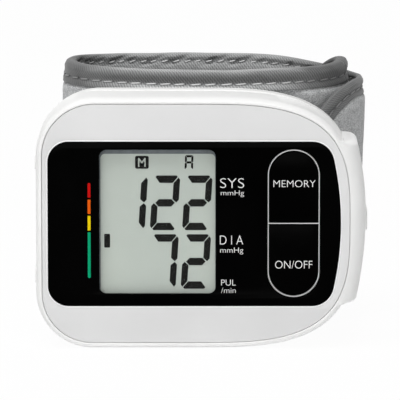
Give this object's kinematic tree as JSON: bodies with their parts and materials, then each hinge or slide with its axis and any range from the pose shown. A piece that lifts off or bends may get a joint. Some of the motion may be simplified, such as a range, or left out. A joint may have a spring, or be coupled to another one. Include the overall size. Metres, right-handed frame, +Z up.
{
  "type": "wrist blood pressure monitor",
  "caption": "Wrist blood pressure monitor: white housing with black display panel, segment display and press keys, on a grey fabric cuff that winds round the wrist.",
  "frame": {"origin": "under the middle of the part's box, on the surface that it stands on", "axes": "+X to the right of the display, +Y back from the display to the cuff, +Z up along the display"},
  "size_m": [0.0922, 0.0746, 0.0727],
  "materials": {
    "white_plastic": "satin white moulding",
    "pale_grey_plastic": "fine matt grey moulding",
    "black_gloss": "gloss black",
    "black_plastic": "matt black",
    "display_glass": "grey-green display glass",
    "clear_window": "clear",
    "board": "green solder mask",
    "steel": "plain",
    "silicone": "translucent white",
    "grey_rubber": "matt grey",
    "cell_wrap": "plain blue sleeve",
    "fleece": "brushed grey loop fabric",
    "binding_tape": "grey twill tape",
    "hook_tape": "black hook tape"
  },
  "bodies": {
    "housing": {"front_shell": "white_plastic", "rear_shell": "white_plastic", "lcd_frame": "white_plastic", "air_manifold": "white_plastic", "pressure_sensor": "white_plastic", "cuff_saddle": "white_plastic", "cuff_stiffener": "white_plastic", "air_nipple": "white_plastic", "face_plate": "pale_grey_plastic", "key_frame": "pale_grey_plastic", "display_panel": "black_gloss", "memory_switch": "black_plastic", "power_switch": "black_plastic", "controller_chip": "black_plastic", "buzzer": "black_plastic", "pump_head": "black_plastic", "battery_tray": "black_plastic", "lcd_module": "display_glass", "display_window": "clear_window", "main_board": "board", "housing_screw_1": "steel", "housing_screw_2": "steel", "housing_screw_3": "steel", "housing_screw_4": "steel", "pump_motor": "steel", "valve_body": "steel", "bridge_contact": "steel", "plus_contact": "steel", "minus_contact": "steel", "battery_spring_1": "steel", "battery_spring_2": "steel", "pump_tube": "silicone", "valve_tube": "silicone", "sensor_tube": "silicone", "cuff_tube": "silicone", "zebra_strip_bottom": "grey_rubber", "zebra_strip_top": "grey_rubber", "cuff_bladder": "grey_rubber", "battery_cell_1": "cell_wrap", "battery_cell_2": "cell_wrap", "cuff_lining": "fleece", "cuff_fabric": "fleece", "cuff_binding": "binding_tape"},
    "memory_button": {"memory_button": "black_gloss"},
    "power_button": {"power_button": "black_gloss"},
    "battery_cover": {"battery_cover": "white_plastic"},
    "cuff_free": {"cuff_lining_free": "fleece", "cuff_fabric_free": "fleece", "cuff_binding_free_top": "binding_tape", "cuff_binding_free_bottom": "binding_tape"},
    "cuff_tip": {"cuff_hook_patch": "hook_tape", "cuff_fabric_tip": "fleece", "cuff_binding_tip": "binding_tape"}
  },
  "joints": [
    {"name": "memory_press", "type": "slide", "parent": "housing", "child": "memory_button", "axis": [0, 1, 0], "range_m": [0, 0.0006], "stiffness_N_per_m": 2500},
    {"name": "power_press", "type": "slide", "parent": "housing", "child": "power_button", "axis": [0, 1, 0], "range_m": [0, 0.0006], "stiffness_N_per_m": 2500},
    {"name": "battery_cover_slide", "type": "slide", "parent": "housing", "child": "battery_cover", "axis": [1, 0, 0], "range_m": [0, 0.03]},
    {"name": "cuff_open", "type": "hinge", "parent": "housing", "child": "cuff_free", "pos_m": [-0.03888, 0.01945, 0.0344], "axis": [0, 0, 1], "range_deg": [0, 40]},
    {"name": "cuff_tip_peel", "type": "hinge", "parent": "cuff_free", "child": "cuff_tip", "pos_m": [0.04606, 0.01634, 0.0309], "axis": [0, 0, 1], "range_deg": [0, 120]}
  ],
  "couplings": [
    {"joint": "cuff_tip_peel", "follows": "cuff_open", "ratio": 3}
  ]
}
